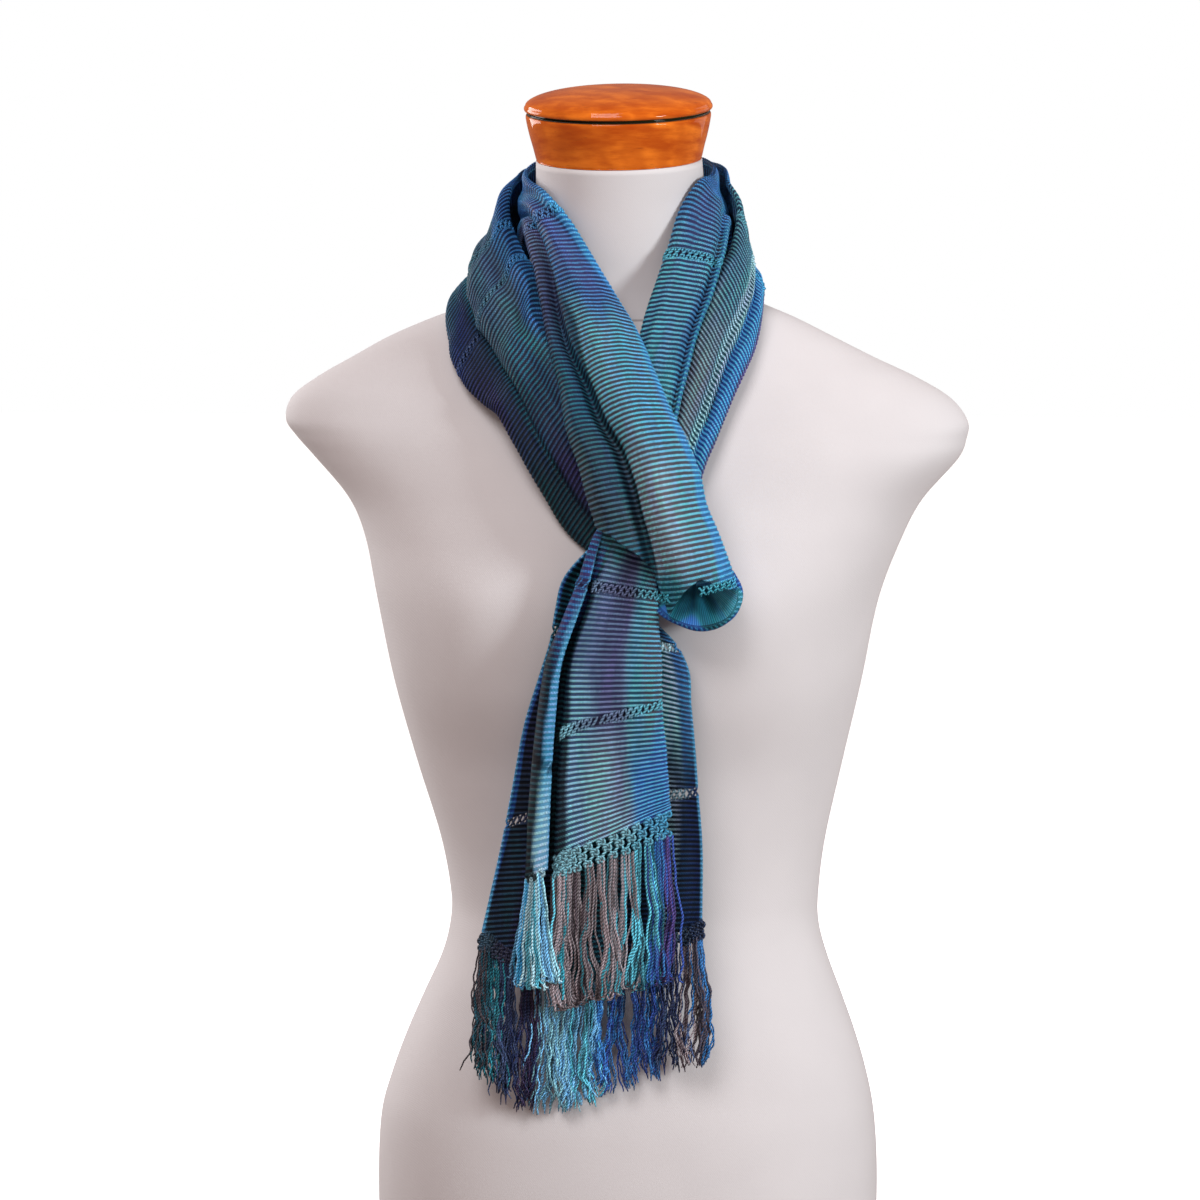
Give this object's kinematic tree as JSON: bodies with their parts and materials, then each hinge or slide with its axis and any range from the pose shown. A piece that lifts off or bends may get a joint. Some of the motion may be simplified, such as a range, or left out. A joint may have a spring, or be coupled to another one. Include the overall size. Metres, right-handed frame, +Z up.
{
  "type": "wrap scarf on limbless dress form",
  "caption": "Handwoven wrap scarf with knotted fringe, folded in half and looped round the neck of a limbless dress form with a turned wooden neck cap.",
  "frame": {"origin": "middle of the form's flat base, under the neck", "axes": "+Z up along the form, -Y towards its front, +X to the viewer's right"},
  "size_m": [0.395, 0.2575, 0.708],
  "materials": {
    "jersey": "matte",
    "lacquered_wood": "gloss",
    "woven_teal": "satin",
    "woven_blue": "satin",
    "yarn": "satin"
  },
  "bodies": {
    "root": {"dress_form": "jersey", "cap_collar": "lacquered_wood", "cap_lid": "lacquered_wood", "loop_front": "woven_teal", "loop_turn": "woven_teal", "loop_back": "woven_blue", "neck_wrap_inner": "woven_blue", "neck_wrap_outer": "woven_blue", "strand_inner": "woven_teal", "strand_outer": "woven_teal", "front_end": "woven_teal", "back_end": "woven_blue", "front_fringe": "yarn", "side_fringe": "yarn", "back_fringe": "yarn"}
  },
  "joints": []
}
